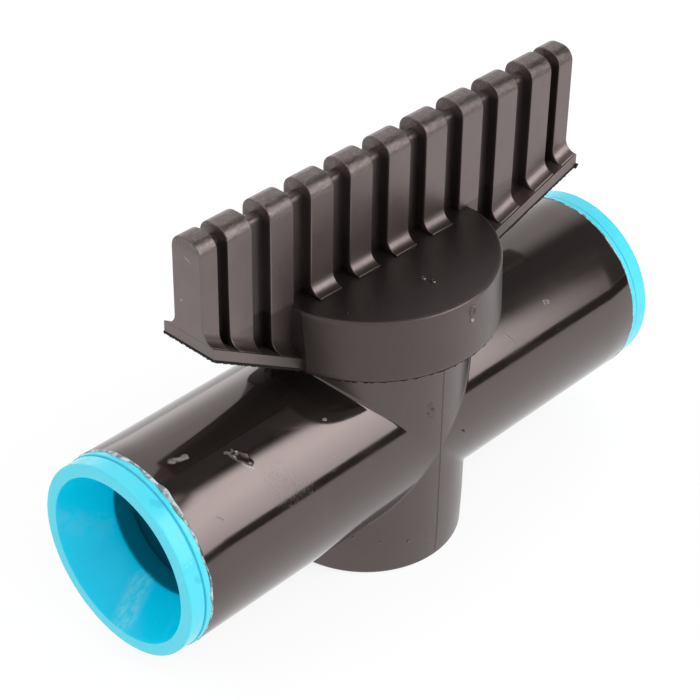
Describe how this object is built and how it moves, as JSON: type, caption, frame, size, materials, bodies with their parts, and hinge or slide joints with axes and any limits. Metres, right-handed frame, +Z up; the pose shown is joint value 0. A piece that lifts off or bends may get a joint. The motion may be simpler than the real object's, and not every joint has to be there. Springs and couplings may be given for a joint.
{
  "type": "ball valve",
  "caption": "In-line irrigation ball valve with black housing, blue compression collars and a ribbed T-handle that turns the ball a quarter turn to shut the flow",
  "frame": {"origin": "centre of the flat foot of the well, directly below the stem; also the bottom centre of the bounding box", "axes": "+X along the flow, +Y across it, +Z up the stem towards the handle"},
  "size_m": [0.0926, 0.036, 0.0617],
  "materials": {
    "housing": "gloss",
    "handle": "satin",
    "collar": "gloss",
    "adhesive": "rough",
    "ball": "polished",
    "stem": "satin",
    "ptfe": "satin",
    "inner_black": "satin",
    "seal": "matt"
  },
  "bodies": {
    "housing": {"body": "housing", "collar_left": "collar", "collar_right": "collar", "bond_bead_left": "adhesive", "bond_bead_right": "adhesive", "cage_left": "inner_black", "cage_right": "inner_black", "seat_left": "ptfe", "seat_right": "ptfe", "seat_oring_left": "seal", "seat_oring_right": "seal", "thrust_washer": "ptfe", "bonnet": "inner_black", "bonnet_oring": "seal"},
    "handle": {"handle": "handle", "stem": "stem", "stem_oring_lower": "seal", "stem_oring_upper": "seal"},
    "ball": {"ball": "ball"}
  },
  "joints": [
    {"name": "handle_turn", "type": "hinge", "parent": "housing", "child": "handle", "pos_m": [0, 0, 0.0411], "axis": [0, 0, -1], "range_deg": [0, 90]},
    {"name": "ball_turn", "type": "hinge", "parent": "housing", "child": "ball", "pos_m": [0, 0, 0.0192], "axis": [0, 0, -1], "range_deg": [0, 90]}
  ],
  "couplings": [
    {"joint": "ball_turn", "follows": "handle_turn", "ratio": 1}
  ]
}
